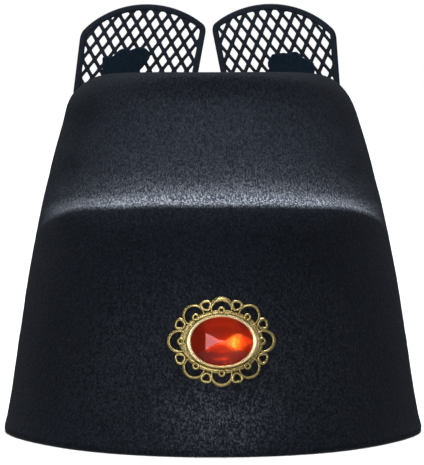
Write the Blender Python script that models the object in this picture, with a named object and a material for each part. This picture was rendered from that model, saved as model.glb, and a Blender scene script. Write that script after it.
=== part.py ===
"""A black felt court cap with a low front tier, a taller tower and two upright lattice wings.

Metres, +Z up. The cap stands on its rim at z = 0, with its front towards -Y.
"""

import math
from collections import namedtuple

import bmesh
import bpy
from mathutils import Vector

# Felt crown: a row for each section of its outer surface, from the rim to the tower's top.
Section = namedtuple("Section", "name half_width front_y back_y middle_y front_z side_z")
SECTIONS = (
    Section("rim_base", 0.0912, -0.1018, 0.1018, 0.000, 0.0000, 0.0000),
    Section("rim_round", 0.0921, -0.1027, 0.1027, 0.000, 0.0007, 0.0007),
    Section("rim", 0.0924, -0.1030, 0.1030, 0.000, 0.0024, 0.0024),
    Section("hem", 0.0907, -0.1013, 0.1019, 0.000, 0.0094, 0.0094),
    Section("skirt", 0.0885, -0.0986, 0.1003, 0.000, 0.0219, 0.0219),
    Section("low_wall", 0.0866, -0.0965, 0.0988, 0.000, 0.0352, 0.0352),
    Section("brooch_wall", 0.0847, -0.0946, 0.0973, 0.000, 0.0480, 0.0480),
    Section("middle_wall", 0.0819, -0.0923, 0.0955, 0.001, 0.0680, 0.0660),
    Section("high_wall", 0.0791, -0.0906, 0.0939, 0.002, 0.0860, 0.0800),
    Section("step_foot", 0.0782, -0.0899, 0.0934, 0.003, 0.0962, 0.0843),
    Section("step_bend", 0.0777, -0.0890, 0.0931, 0.004, 0.1002, 0.0866),
    Section("step_edge", 0.0772, -0.0868, 0.0929, 0.005, 0.1020, 0.0891),
    Section("ledge", 0.0764, -0.0795, 0.0926, 0.006, 0.1028, 0.0935),
    Section("ledge_bend", 0.0755, -0.0725, 0.0923, 0.008, 0.1050, 0.0982),
    Section("tower_foot", 0.0744, -0.0682, 0.0921, 0.010, 0.1092, 0.1036),
    Section("tower_low", 0.0726, -0.0650, 0.0920, 0.012, 0.1155, 0.1110),
    Section("tower_wall", 0.0700, -0.0614, 0.0920, 0.014, 0.1250, 0.1220),
    Section("tower_middle", 0.0663, -0.0585, 0.0920, 0.016, 0.1360, 0.1345),
    Section("tower_high", 0.0628, -0.0566, 0.0918, 0.016, 0.1470, 0.1445),
    Section("shoulder", 0.0592, -0.0558, 0.0900, 0.016, 0.1545, 0.1502),
    Section("shoulder_bend", 0.0538, -0.0540, 0.0855, 0.016, 0.1575, 0.1551),
    Section("top_edge", 0.0450, -0.0480, 0.0765, 0.016, 0.1583, 0.1578),
    Section("top", 0.0250, -0.0180, 0.0510, 0.016, 0.1585, 0.1585),
)
TOP_CENTRE_Z = 0.1585
RIM_SECTION = 2
FELT = 0.0026
COLUMNS = 48
FRONT_TAPER = 0.22
STEP_REACH = 0.85
BACK_SQUARENESS = 2.3
CLEARANCE = 0.0003
WELD = 1e-6

# Lattice wings: straight sides that lean, a round top, and a solid root behind the tower.
Wing = namedtuple(
    "Wing",
    "name side inner_x inner_lean outer_x outer_lean row_x row_z row_step row_drift column_tilt",
)
WINGS = (
    Wing("left", -1, -0.0015, -0.185, -0.0602, -0.125, -0.02734, 0.18561, 0.00432, -0.00056, -0.00007),
    Wing("right", 1, 0.0022, 0.200, 0.0602, 0.075, 0.02572, 0.18604, 0.00467, 0.00097, 0.00003),
)
WING_LEVEL_Z = 0.1762
WING_TOP_Z = 0.1903
WING_ARC_X = 0.0300
WING_ARC_RADIUS = 0.0427
WING_CORNER = 0.0035
ARCH_STEPS = 14
ARCH_ROUNDS = 8
WING_THICKNESS = 0.0020
WING_FRAME = 0.0026
WING_FRONT_Y = 0.0920 + CLEARANCE
HALF_COLUMN = 0.00292
STRAND = 0.00148
LATTICE_ROWS = 8
LATTICE_COLUMNS = 12
LATTICE_FLOOR_Z = 0.1532
SMALLEST_GAP = 0.35
ROOT_SHOULDER_Z = 0.1400
ROOT_Z = 0.1180
ROOT_INNER_X = 0.0120
ROOT_OUTER_X = 0.0400
ROOT_CORNER = 0.0080
CORNER_STEPS = 3
CORNER_SHARE = 0.45

# Felt tabs that stand between the tower and the wings: outlines from the inner foot, over the top.
Outline = namedtuple("Outline", "name points")
TABS = (
    Outline(
        "left",
        (
            (-0.0300, 0.1300), (-0.0322, 0.1580), (-0.0284, 0.1645), (-0.0281, 0.1668),
            (-0.0303, 0.1698), (-0.0336, 0.1701), (-0.0369, 0.1684), (-0.0388, 0.1693),
            (-0.0416, 0.1691), (-0.0449, 0.1660), (-0.0491, 0.1654), (-0.0491, 0.1540),
            (-0.0470, 0.1300),
        ),
    ),
    Outline(
        "right",
        (
            (0.0300, 0.1300), (0.0281, 0.1580), (0.0280, 0.1653), (0.0313, 0.1670),
            (0.0341, 0.1678), (0.0379, 0.1673), (0.0407, 0.1683), (0.0431, 0.1673),
            (0.0445, 0.1651), (0.0473, 0.1645), (0.0497, 0.1626), (0.0500, 0.1540),
            (0.0470, 0.1300),
        ),
    ),
)
TAB_THICKNESS = 0.0016
TAB_CORNER = 0.0009
TAB_CORNER_STEPS = 2

# Brooch: a pierced gilt plate that follows the felt, with a raised oval bezel.
BROOCH_X = 0.00145
BROOCH_Z = 0.0471
PLATE_FOOT = CLEARANCE
PLATE_THICKNESS = 0.0012
BAND_X = 0.0163
BAND_Y = 0.0123
Eyelet = namedtuple("Eyelet", "x y")
EYELETS = (
    Eyelet(0.01686, 0.0),
    Eyelet(0.01072, 0.01003),
    Eyelet(0.0, 0.01298),
    Eyelet(-0.01072, 0.01003),
    Eyelet(-0.01686, 0.0),
    Eyelet(-0.01072, -0.01003),
    Eyelet(0.0, -0.01298),
    Eyelet(0.01072, -0.01003),
)
EYELET_RADIUS = 0.00177
LOOP_RADIUS = 0.00500
LOOP_REACH = 0.00078
CRESCENT_RADIUS = 0.00400
CRESCENT_SWEEP = math.radians(96)
CRESCENT_STEPS = 8
EYELET_STEPS = 6
LOBE_AXES = ((0.00630, 0.01484), (0.01710, 0.00713))
LOBE_RADIUS = 0.00247
LOBE_HOLE = 0.00118
LOBE_HOLE_STEPS = 8
OUTLINE_STEPS = 112
BEZEL_STEPS = 36
BezelRing = namedtuple("BezelRing", "name half_x half_y height follows_felt")
BEZEL = (
    BezelRing("cup_floor_edge", 0.01200, 0.00860, 0.00035, False),
    BezelRing("cup_foot", 0.01480, 0.01095, 0.00065, True),
    BezelRing("outer_wall", 0.01505, 0.01103, 0.00200, False),
    BezelRing("outer_shoulder", 0.01490, 0.01090, 0.00310, False),
    BezelRing("crest", 0.01410, 0.01035, 0.00410, False),
    BezelRing("lip", 0.01290, 0.00972, 0.00350, False),
    BezelRing("under_lip", 0.01300, 0.00982, 0.00318, False),
    BezelRing("pocket_top", 0.01350, 0.01030, 0.00300, False),
    BezelRing("pocket_floor", 0.01350, 0.01030, 0.00120, False),
)
CUP_UNDERSIDE = 0.00035
PLATE_OPENING_X = 0.01425
PLATE_OPENING_Y = 0.01062
PLATE_BEND_STEP = 0.0040
PLATE_BENDS = 5
POCKET_FLOOR = 0.00120

# Rose-cut stone: a flat back, a thin girdle, eighteen outer facets, six star facets and a small table.
GEM_HALF_X = 0.0132
GEM_HALF_Y = 0.0100
GEM_BACK = POCKET_FLOOR + CLEARANCE
GEM_GIRDLE = 0.0027
GEM_STAR_HEIGHT = 0.0049
GEM_TOP = 0.0062
GEM_STAR = 0.50
GEM_TABLE = 0.035
GEM_SECTORS = 6

Finish = namedtuple("Finish", "name colour roughness metallic")
FELT_FINISH = Finish("black_felt", (0.012, 0.014, 0.021), 0.95, 0.0)
PLASTIC_FINISH = Finish("black_plastic", (0.006, 0.008, 0.013), 0.45, 0.0)
GILT_FINISH = Finish("gilt_metal", (0.80, 0.62, 0.28), 0.28, 1.0)
STONE_FINISH = Finish("red_stone", (0.62, 0.02, 0.01), 0.05, 0.0)
CROWN_SMOOTH_TO = math.radians(60)
SETTING_SMOOTH_TO = math.radians(40)


def remove_start_objects():
    for thing in list(bpy.data.objects):
        bpy.data.objects.remove(thing, do_unlink=True)


def new_collection(name):
    collection = bpy.data.collections.new(name)
    bpy.context.scene.collection.children.link(collection)
    return collection


def new_material(finish):
    material = bpy.data.materials.new(finish.name)
    material.use_nodes = True
    shader = material.node_tree.nodes["Principled BSDF"]
    shader.inputs["Base Color"].default_value = (*finish.colour, 1.0)
    shader.inputs["Roughness"].default_value = finish.roughness
    shader.inputs["Metallic"].default_value = finish.metallic
    material.diffuse_color = (*finish.colour, 1.0)
    return material


def new_object(name, mesh, collection, material, smooth_to=None):
    """An object in the collection, shaded smooth over edges up to an angle if one is given."""
    thing = bpy.data.objects.new(name, mesh)
    collection.objects.link(thing)
    mesh.materials.clear()
    mesh.materials.append(material)
    if smooth_to is not None:
        mesh.shade_smooth()
        mesh.set_sharp_from_angle(angle=smooth_to)
    return thing


def mesh_from(bm, name):
    bmesh.ops.recalc_face_normals(bm, faces=bm.faces)
    mesh = bpy.data.meshes.new(name)
    bm.to_mesh(mesh)
    bm.free()
    return mesh


def bridge(bm, low, high):
    """Quads between two rings of vertices that have the same count."""
    count = len(low)
    for i in range(count):
        j = (i + 1) % count
        bm.faces.new((low[i], low[j], high[j], high[i]))


def fan(bm, ring, centre):
    """Triangles from a ring of vertices to a point."""
    tip = bm.verts.new(centre)
    for i, vertex in enumerate(ring):
        bm.faces.new((vertex, ring[(i + 1) % len(ring)], tip))


def smooth_step(value):
    value = min(max(value, 0.0), 1.0)
    return value * value * (3.0 - 2.0 * value)


def section_point(section, turn):
    """A point of the crown's outer surface. Turn 0 is the front, and a quarter turn is the +X side."""
    across = math.sin(turn)
    forward = math.cos(turn)
    if forward >= 0.0:
        depth = section.middle_y - section.front_y
        taper = 1.0 - FRONT_TAPER * across**4
        rise = smooth_step(forward / STEP_REACH)
        z = section.side_z + (section.front_z - section.side_z) * rise
        return Vector((section.half_width * across, section.middle_y - depth * forward * taper, z))
    power = 2.0 / BACK_SQUARENESS
    x = section.half_width * math.copysign(abs(across) ** power, across)
    depth = section.back_y - section.middle_y
    return Vector((x, section.middle_y + depth * abs(forward) ** power, section.side_z))


def crown_grid():
    """Outer points, a list for each section from the rim up."""
    turns = [2.0 * math.pi * i / COLUMNS for i in range(COLUMNS)]
    return [[section_point(section, turn) for turn in turns] for section in SECTIONS]


def inner_grid(outer):
    """The outer points moved inwards by the felt's thickness, from the rim's section up."""
    inner = []
    for row in range(RIM_SECTION, len(outer)):
        above = outer[min(row + 1, len(outer) - 1)]
        below = outer[row - 1]
        ring = []
        for i, point in enumerate(outer[row]):
            along = outer[row][(i + 1) % COLUMNS] - outer[row][i - 1]
            up = above[i] - below[i]
            ring.append(point - along.cross(up).normalized() * FELT)
        inner.append(ring)
    return inner


def make_crown(collection, material):
    outer = crown_grid()
    inner = inner_grid(outer)
    inner_base = [Vector((point.x, point.y, 0.0)) for point in inner[0]]
    bm = bmesh.new()
    outside = [[bm.verts.new(point) for point in ring] for ring in outer]
    inside = [[bm.verts.new(point) for point in ring] for ring in inner]
    base = [bm.verts.new(point) for point in inner_base]
    for low, high in zip(outside, outside[1:]):
        bridge(bm, low, high)
    for low, high in zip(inside, inside[1:]):
        bridge(bm, high, low)
    bridge(bm, inside[0], base)
    bridge(bm, base, outside[0])
    middle_y = SECTIONS[-1].middle_y
    fan(bm, outside[-1], (0.0, middle_y, TOP_CENTRE_Z))
    fan(bm, inside[-1], (0.0, middle_y, TOP_CENTRE_Z - FELT))
    return new_object("crown", mesh_from(bm, "crown"), collection, material, CROWN_SMOOTH_TO)


def arc_points(centre, radius, start, end, steps):
    return [
        (
            centre[0] + radius * math.cos(start + (end - start) * i / steps),
            centre[1] + radius * math.sin(start + (end - start) * i / steps),
        )
        for i in range(steps + 1)
    ]


def rounded(corners, steps):
    """A closed outline from corners (x, y, radius). A corner that has a radius becomes a short curve."""
    outline = []
    count = len(corners)
    for i, (x, y, radius) in enumerate(corners):
        if radius == 0.0:
            outline.append((x, y))
            continue
        here = Vector((x, y))
        back = Vector(corners[i - 1][:2]) - here
        ahead = Vector(corners[(i + 1) % count][:2]) - here
        start = here + back.normalized() * min(radius, CORNER_SHARE * back.length)
        end = here + ahead.normalized() * min(radius, CORNER_SHARE * ahead.length)
        for k in range(steps + 1):
            t = k / steps
            outline.append(tuple((1 - t) ** 2 * start + 2 * t * (1 - t) * here + t * t * end))
    return outline


def side_x(at_level, lean, z):
    """The x of a wing's straight side, which leans by the same amount for each unit of height."""
    return at_level + lean * (WING_LEVEL_Z - z)


def arch_meets(wing, at_level, lean, radius):
    """Where a leaning side meets the round top, found by stepping down from the arch."""
    centre = (wing.side * WING_ARC_X, WING_TOP_Z - WING_ARC_RADIUS)
    z = WING_LEVEL_Z
    for _ in range(ARCH_ROUNDS):
        offset = side_x(at_level, lean, z) - centre[0]
        z = centre[1] + math.sqrt(radius**2 - offset**2)
    return math.atan2(z - centre[1], offset)


def wing_outline(wing, inset):
    """The x of both sides and the points of the round top; an inset gives the frame's inner edge."""
    inner_x = wing.inner_x + wing.side * inset
    outer_x = wing.outer_x - wing.side * inset
    radius = WING_ARC_RADIUS - inset
    start = arch_meets(wing, inner_x, wing.inner_lean, radius)
    end = arch_meets(wing, outer_x, wing.outer_lean, radius)
    centre = (wing.side * WING_ARC_X, WING_TOP_Z - WING_ARC_RADIUS)
    return inner_x, outer_x, arc_points(centre, radius, start, end, ARCH_STEPS)


def plate_outline(wing):
    """The wing's edge: its root, up the inner side, over the round top and down the outer side."""
    inner_x, outer_x, arch = wing_outline(wing, 0.0)
    corners = [
        (wing.side * ROOT_OUTER_X, ROOT_Z, ROOT_CORNER),
        (wing.side * ROOT_INNER_X, ROOT_Z, ROOT_CORNER),
        (side_x(inner_x, wing.inner_lean, ROOT_SHOULDER_Z), ROOT_SHOULDER_Z, ROOT_CORNER),
        (*arch[0], WING_CORNER),
        *[(x, z, 0.0) for x, z in arch[1:-1]],
        (*arch[-1], WING_CORNER),
        (side_x(outer_x, wing.outer_lean, ROOT_SHOULDER_Z), ROOT_SHOULDER_Z, ROOT_CORNER),
    ]
    return rounded(corners, CORNER_STEPS)


def clip(polygon, start, end):
    """The part of a convex polygon on the left of the line from start to end."""
    kept = []
    line = Vector(end) - Vector(start)
    sides = [line.cross(Vector(point) - Vector(start)) for point in polygon]
    for i, point in enumerate(polygon):
        j = (i + 1) % len(polygon)
        if sides[i] >= 0.0:
            kept.append(point)
        if (sides[i] >= 0.0) != (sides[j] >= 0.0):
            share = sides[i] / (sides[i] - sides[j])
            kept.append(tuple(Vector(point).lerp(Vector(polygon[j]), share)))
    return kept


def area_of(polygon):
    return 0.5 * sum(
        a[0] * b[1] - b[0] * a[1] for a, b in zip(polygon, polygon[1:] + polygon[:1])
    )


def behind_tab(wing, x, z):
    """True where the felt tab covers the lattice, which stays solid there."""
    outline = next(tab.points for tab in TABS if tab.name == wing.name)
    inside = False
    for (ax, az), (bx, bz) in zip(outline, outline[1:] + outline[:1]):
        if (az > z) != (bz > z) and x < ax + (z - az) / (bz - az) * (bx - ax):
            inside = not inside
    return inside


def lattice_gaps(wing):
    """Diamond gaps of the lattice, clipped to the inner edge of the frame."""
    inner_x, outer_x, arch = wing_outline(wing, WING_FRAME)
    foot = [
        (side_x(outer_x, wing.outer_lean, LATTICE_FLOOR_Z), LATTICE_FLOOR_Z),
        (side_x(inner_x, wing.inner_lean, LATTICE_FLOOR_Z), LATTICE_FLOOR_Z),
    ]
    window = [*foot, *arch]
    if area_of(window) < 0.0:
        window.reverse()
    slant = math.hypot(HALF_COLUMN, wing.row_step)
    open_share = 1.0 - 0.5 * STRAND * slant / (HALF_COLUMN * wing.row_step)
    across = Vector((HALF_COLUMN, wing.column_tilt)) * open_share
    down = Vector((wing.row_drift, -wing.row_step)) * open_share
    full_area = 2.0 * abs(across.cross(down))
    gaps = []
    for row in range(-1, LATTICE_ROWS):
        for column in range(-LATTICE_COLUMNS, LATTICE_COLUMNS + 1):
            if (row + column) % 2:
                continue
            middle = Vector((wing.row_x, wing.row_z))
            middle += column * Vector((HALF_COLUMN, wing.column_tilt))
            middle += row * Vector((wing.row_drift, -wing.row_step))
            gap = [middle + across, middle - down, middle - across, middle + down]
            for start, end in zip(window, window[1:] + window[:1]):
                gap = clip(gap, start, end) if gap else gap
            if len(gap) > 2 and area_of(gap) > SMALLEST_GAP * full_area and not behind_tab(wing, *middle):
                gaps.append([tuple(point) for point in gap])
    return gaps


def flat_mesh(name, outlines, thickness):
    """A plate from closed outlines in its own X and Y: the first is its edge, the others are cut out."""
    curve = bpy.data.curves.new(name, "CURVE")
    curve.dimensions = "2D"
    curve.fill_mode = "BOTH"
    curve.extrude = thickness / 2.0
    for outline in outlines:
        spline = curve.splines.new("POLY")
        spline.points.add(len(outline) - 1)
        for point, (x, y) in zip(spline.points, outline):
            point.co = (x, y, 0.0, 1.0)
        spline.use_cyclic_u = True
    guide = bpy.data.objects.new(name, curve)
    bpy.context.scene.collection.objects.link(guide)
    graph = bpy.context.evaluated_depsgraph_get()
    mesh = bpy.data.meshes.new_from_object(guide.evaluated_get(graph))
    bpy.data.objects.remove(guide, do_unlink=True)
    bpy.data.curves.remove(curve)
    bm = bmesh.new()
    bm.from_mesh(mesh)
    bmesh.ops.remove_doubles(bm, verts=bm.verts, dist=WELD)
    bmesh.ops.recalc_face_normals(bm, faces=bm.faces)
    bm.to_mesh(mesh)
    bm.free()
    return mesh


def add_bend_lines(mesh):
    """Cuts the plate's faces along upright lines, so that they can follow a curved wall."""
    bm = bmesh.new()
    bm.from_mesh(mesh)
    for i in range(-PLATE_BENDS, PLATE_BENDS + 1):
        whole = [*bm.verts, *bm.edges, *bm.faces]
        line = (i * PLATE_BEND_STEP, 0.0, 0.0)
        bmesh.ops.bisect_plane(bm, geom=whole, dist=WELD, plane_co=line, plane_no=(1.0, 0.0, 0.0))
    bmesh.ops.triangulate(bm, faces=bm.faces)
    bm.to_mesh(mesh)
    bm.free()


def stand_up(thing, middle_y):
    """Turns a plate drawn in X and Y so that it stands in X and Z, with its middle at middle_y."""
    thing.rotation_euler = (math.radians(90), 0.0, 0.0)
    thing.location = (0.0, middle_y, 0.0)
    return thing


def make_wing(wing, collection, material):
    name = "wing_" + wing.name
    mesh = flat_mesh(name, [plate_outline(wing), *lattice_gaps(wing)], WING_THICKNESS)
    thing = new_object(name, mesh, collection, material)
    return stand_up(thing, WING_FRONT_Y + WING_THICKNESS / 2.0)


def make_tab(tab, collection, material):
    name = "wing_tab_" + tab.name
    corners = [(x, z, TAB_CORNER) for x, z in tab.points]
    mesh = flat_mesh(name, [rounded(corners, TAB_CORNER_STEPS)], TAB_THICKNESS)
    thing = new_object(name, mesh, collection, material)
    return stand_up(thing, WING_FRONT_Y - CLEARANCE - TAB_THICKNESS / 2.0)


def front_wall(x, z):
    """The y of the crown's front wall, straight between its sections."""
    low = max(i for i, section in enumerate(SECTIONS) if section.front_z <= z)
    a, b = SECTIONS[low], SECTIONS[low + 1]
    share = (z - a.front_z) / (b.front_z - a.front_z)
    half_width = a.half_width + (b.half_width - a.half_width) * share
    middle_y = a.middle_y + (b.middle_y - a.middle_y) * share
    front_y = a.front_y + (b.front_y - a.front_y) * share
    across = x / half_width
    return middle_y - (middle_y - front_y) * math.sqrt(1.0 - across**2) * (1.0 - FRONT_TAPER * across**4)


def brooch_frame():
    """The brooch's middle on the felt, its upward direction along the wall and its outward direction."""
    middle = Vector((BROOCH_X, front_wall(BROOCH_X, BROOCH_Z), BROOCH_Z))
    above = front_wall(BROOCH_X, BROOCH_Z + BAND_Y)
    below = front_wall(BROOCH_X, BROOCH_Z - BAND_Y)
    up = Vector((0.0, above - below, 2.0 * BAND_Y)).normalized()
    return middle, up, Vector((0.0, -up.z, up.y))


def flat_point(x, y, height):
    """A point of the brooch's flat parts, over the plane that touches the felt at its middle."""
    middle, up, outward = brooch_frame()
    return middle + Vector((x, 0.0, 0.0)) + y * up + height * outward


def felt_point(x, y, height):
    """A point of the brooch's plate, which follows the curve of the felt."""
    middle, up, outward = brooch_frame()
    z = middle.z + y * up.z
    return Vector((middle.x + x, front_wall(middle.x + x, z), z)) + height * outward


def ray_reach(angle, centre, radius):
    """How far a ray from the brooch's middle runs before it leaves a circle, or 0 if it misses."""
    direction = Vector((math.cos(angle), math.sin(angle)))
    along = direction.dot(Vector(centre))
    apart = Vector(centre).length_squared - along**2
    if apart > radius**2 or along < 0.0:
        return 0.0
    return along + math.sqrt(radius**2 - apart)


def ellipse_reach(angle, half_x, half_y):
    return 1.0 / math.hypot(math.cos(angle) / half_x, math.sin(angle) / half_y)


def lobe_centres():
    return [(sx * x, sy * y) for x, y in LOBE_AXES for sx in (-1, 1) for sy in (-1, 1)]


def loop_centre(eyelet):
    outward = Vector(eyelet).normalized()
    return Vector(eyelet) + outward * LOOP_REACH


def filigree_outline():
    outline = []
    for i in range(OUTLINE_STEPS):
        angle = 2.0 * math.pi * i / OUTLINE_STEPS
        reach = ellipse_reach(angle, BAND_X, BAND_Y)
        for eyelet in EYELETS:
            reach = max(reach, ray_reach(angle, loop_centre(eyelet), LOOP_RADIUS))
        for centre in lobe_centres():
            reach = max(reach, ray_reach(angle, centre, LOBE_RADIUS))
        outline.append((reach * math.cos(angle), reach * math.sin(angle)))
    return outline


def crescent(eyelet):
    """The gap between an eyelet and its loop: an arc out, and a smaller arc back."""
    facing = math.atan2(eyelet.y, eyelet.x)
    start, end = facing - CRESCENT_SWEEP, facing + CRESCENT_SWEEP
    outer = arc_points(eyelet, CRESCENT_RADIUS, start, end, CRESCENT_STEPS)
    inner = arc_points(eyelet, EYELET_RADIUS, end, start, EYELET_STEPS)
    return outer + inner


def ellipse_points(half_x, half_y, steps):
    turns = [2.0 * math.pi * i / steps for i in range(steps)]
    return [(half_x * math.cos(turn), half_y * math.sin(turn)) for turn in turns]


def make_plate():
    """The pierced plate as a mesh on the felt, with an oval opening that the bezel cup fills."""
    opening = ellipse_points(PLATE_OPENING_X, PLATE_OPENING_Y, BEZEL_STEPS)
    holes = [crescent(eyelet) for eyelet in EYELETS]
    for x, y in lobe_centres():
        rim = ellipse_points(LOBE_HOLE, LOBE_HOLE, LOBE_HOLE_STEPS)
        holes.append([(x + dx, y + dy) for dx, dy in rim])
    mesh = flat_mesh("filigree", [filigree_outline(), opening, *holes], PLATE_THICKNESS)
    add_bend_lines(mesh)
    for vertex in mesh.vertices:
        x, y, height = vertex.co
        vertex.co = felt_point(x, y, PLATE_FOOT + PLATE_THICKNESS / 2.0 + height)
    return mesh


def make_bezel():
    """The oval cup: an underside, a wall, a crest, a lip over the stone and a pocket floor."""
    bm = bmesh.new()
    rings = []
    for ring in BEZEL:
        place = felt_point if ring.follows_felt else flat_point
        outline = ellipse_points(ring.half_x, ring.half_y, BEZEL_STEPS)
        rings.append([bm.verts.new(place(x, y, ring.height)) for x, y in outline])
    for low, high in zip(rings, rings[1:]):
        bridge(bm, low, high)
    fan(bm, rings[0], flat_point(0.0, 0.0, CUP_UNDERSIDE))
    fan(bm, rings[-1], flat_point(0.0, 0.0, POCKET_FLOOR))
    return mesh_from(bm, "bezel")


def make_setting(collection, cutters, material):
    """The plate and the bezel, joined into one casting."""
    setting = new_object("brooch_setting", make_plate(), collection, material, SETTING_SMOOTH_TO)
    bezel = new_object("bezel", make_bezel(), cutters, material)
    bezel.hide_render = True
    bezel.display_type = "WIRE"
    join = setting.modifiers.new("join_bezel", "BOOLEAN")
    join.operation = "UNION"
    join.object = bezel
    return setting


def gem_outline_point(turn, share=1.0):
    return share * GEM_HALF_X * math.cos(turn), share * GEM_HALF_Y * math.sin(turn)


def facet_height(x, y, facet):
    """The height above (x, y) of the plane through three points of a facet."""
    a, b, c = facet
    normal = (b - a).cross(c - a)
    return a.z - (normal.x * (x - a.x) + normal.y * (y - a.y)) / normal.z


def make_gem(collection, material):
    """Sector by sector: a star facet, then three outer facets down to the girdle."""
    bm = bmesh.new()
    step = math.tau / GEM_SECTORS
    turns = [math.pi / 2.0 + step * i for i in range(GEM_SECTORS)]
    local = []

    def corner(x, y, height):
        local.append(Vector((x, y, height)))
        return bm.verts.new(flat_point(x, y, height))

    def flat_corner(turn, share, height):
        return corner(*gem_outline_point(turn, share), height)

    table = [flat_corner(turn, GEM_TABLE, GEM_TOP) for turn in turns]
    star = [flat_corner(turn, GEM_STAR, GEM_STAR_HEIGHT) for turn in turns]
    quarters = 4 * GEM_SECTORS
    girdle, back = [], []
    for i in range(quarters):
        turn = turns[0] + math.tau * i / quarters
        x, y = gem_outline_point(turn)
        height = GEM_GIRDLE
        if i % 2:
            sector, part = divmod(i, 4)
            first = local[GEM_SECTORS + sector]
            second = local[GEM_SECTORS + (sector + 1) % GEM_SECTORS]
            low = Vector((*gem_outline_point(turn - step / 4.0), GEM_GIRDLE))
            high = Vector((*gem_outline_point(turn + step / 4.0), GEM_GIRDLE))
            height = facet_height(x, y, (first if part == 1 else second, low, high))
        girdle.append(corner(x, y, height))
        back.append(corner(x, y, GEM_BACK))
    bm.faces.new(table)
    for i in range(GEM_SECTORS):
        j = (i + 1) % GEM_SECTORS
        at = [girdle[(4 * i + k) % quarters] for k in range(5)]
        bm.faces.new((table[i], star[i], star[j], table[j]))
        bm.faces.new((star[i], at[0], at[1], at[2]))
        bm.faces.new((star[i], at[2], star[j]))
        bm.faces.new((star[j], at[2], at[3], at[4]))
    bridge(bm, back, girdle)
    bm.faces.new(back)
    return new_object("gem", mesh_from(bm, "gem"), collection, material)


def make_cap():
    remove_start_objects()
    cap = new_collection("court_cap")
    cutters = new_collection("cutters")
    felt = new_material(FELT_FINISH)
    plastic = new_material(PLASTIC_FINISH)
    gilt = new_material(GILT_FINISH)
    stone = new_material(STONE_FINISH)
    make_crown(cap, felt)
    for wing in WINGS:
        make_wing(wing, cap, plastic)
    for tab in TABS:
        make_tab(tab, cap, felt)
    make_setting(cap, cutters, gilt)
    make_gem(cap, stone)


make_cap()
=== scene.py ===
"""The looks of a black felt court cap with lattice wings and a gilt brooch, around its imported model.

Metres, +Z up, the front towards -Y, as in the model.
"""

import math
from bisect import bisect_left
from collections import namedtuple

import bmesh
import bpy
from mathutils import Matrix, Vector, noise


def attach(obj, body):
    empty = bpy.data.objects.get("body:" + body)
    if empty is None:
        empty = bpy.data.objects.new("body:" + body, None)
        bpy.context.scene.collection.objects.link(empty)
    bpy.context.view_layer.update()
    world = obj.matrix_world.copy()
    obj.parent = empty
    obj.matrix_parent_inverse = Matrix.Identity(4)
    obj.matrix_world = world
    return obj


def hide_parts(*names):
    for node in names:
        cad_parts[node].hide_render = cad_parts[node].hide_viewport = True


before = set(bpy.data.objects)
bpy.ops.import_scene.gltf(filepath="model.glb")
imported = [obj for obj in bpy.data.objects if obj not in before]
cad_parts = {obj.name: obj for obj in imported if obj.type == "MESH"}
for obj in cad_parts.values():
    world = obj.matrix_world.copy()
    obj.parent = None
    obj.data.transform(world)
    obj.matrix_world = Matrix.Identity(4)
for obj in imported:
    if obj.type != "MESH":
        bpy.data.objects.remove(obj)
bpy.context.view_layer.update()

# Felt crown: the sections of its outer surface, from the rim to the tower's top.
Section = namedtuple("Section", "half_width front_y back_y middle_y front_z side_z")
SECTIONS = (
    Section(0.0924, -0.1030, 0.1030, 0.000, 0.0024, 0.0024),
    Section(0.0907, -0.1013, 0.1019, 0.000, 0.0094, 0.0094),
    Section(0.0885, -0.0986, 0.1003, 0.000, 0.0219, 0.0219),
    Section(0.0866, -0.0965, 0.0988, 0.000, 0.0352, 0.0352),
    Section(0.0847, -0.0946, 0.0973, 0.000, 0.0480, 0.0480),
    Section(0.0819, -0.0923, 0.0955, 0.001, 0.0680, 0.0660),
    Section(0.0791, -0.0906, 0.0939, 0.002, 0.0860, 0.0800),
    Section(0.0782, -0.0899, 0.0934, 0.003, 0.0962, 0.0843),
    Section(0.0777, -0.0890, 0.0931, 0.004, 0.1010, 0.0872),
    Section(0.0772, -0.0868, 0.0929, 0.005, 0.1024, 0.0895),
    Section(0.0764, -0.0795, 0.0926, 0.006, 0.1029, 0.0936),
    Section(0.0755, -0.0725, 0.0923, 0.008, 0.1050, 0.0982),
    Section(0.0744, -0.0682, 0.0921, 0.010, 0.1092, 0.1036),
    Section(0.0726, -0.0650, 0.0920, 0.012, 0.1155, 0.1110),
    Section(0.0700, -0.0614, 0.0920, 0.014, 0.1250, 0.1220),
    Section(0.0663, -0.0585, 0.0920, 0.016, 0.1360, 0.1345),
    Section(0.0628, -0.0566, 0.0918, 0.016, 0.1470, 0.1445),
    Section(0.0592, -0.0558, 0.0900, 0.016, 0.1545, 0.1502),
    Section(0.0538, -0.0540, 0.0855, 0.016, 0.1575, 0.1551),
    Section(0.0450, -0.0480, 0.0765, 0.016, 0.1583, 0.1578),
    Section(0.0250, -0.0180, 0.0510, 0.016, 0.1585, 0.1585),
)
TOP_CENTRE_Z = 0.1585
FELT = 0.0026
RIM_RADIUS = FELT / 2.0
RIM_STEPS = 8
FRONT_TAPER = 0.22
STEP_REACH = 0.85
BACK_SQUARENESS = 2.3
FELT_COLUMNS = 288
FELT_STEP = 0.0013
INNER_EVERY = 2
UNEVEN_SCALE = 28.0
UNEVEN_DEPTH = 0.00030
FINE_SCALE = 190.0
FINE_DEPTH = 0.00008
INNER_UNEVEN_SHARE = 0.5
INNER_UNEVEN_SCALE = 1.3
LEFT_SWELL = 0.0008
LEFT_SWELL_FROM = 0.030
LEFT_SWELL_TO = 0.140
SHOULDER_SWELL = 0.0010
SHOULDER_FROM = 0.134
SHOULDER_PEAK = 0.148
SHOULDER_TO = 0.157
CREST_LIFT = 0.0018
CREST_FROM = 0.088
CREST_PEAK = 0.101
CREST_TO = 0.116
CREST_WIDTH = 0.20
FLOW_RADIUS = 0.085
FLOW_SHOULDER = 0.055
FELT_SMOOTH_TO = 70.0

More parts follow.
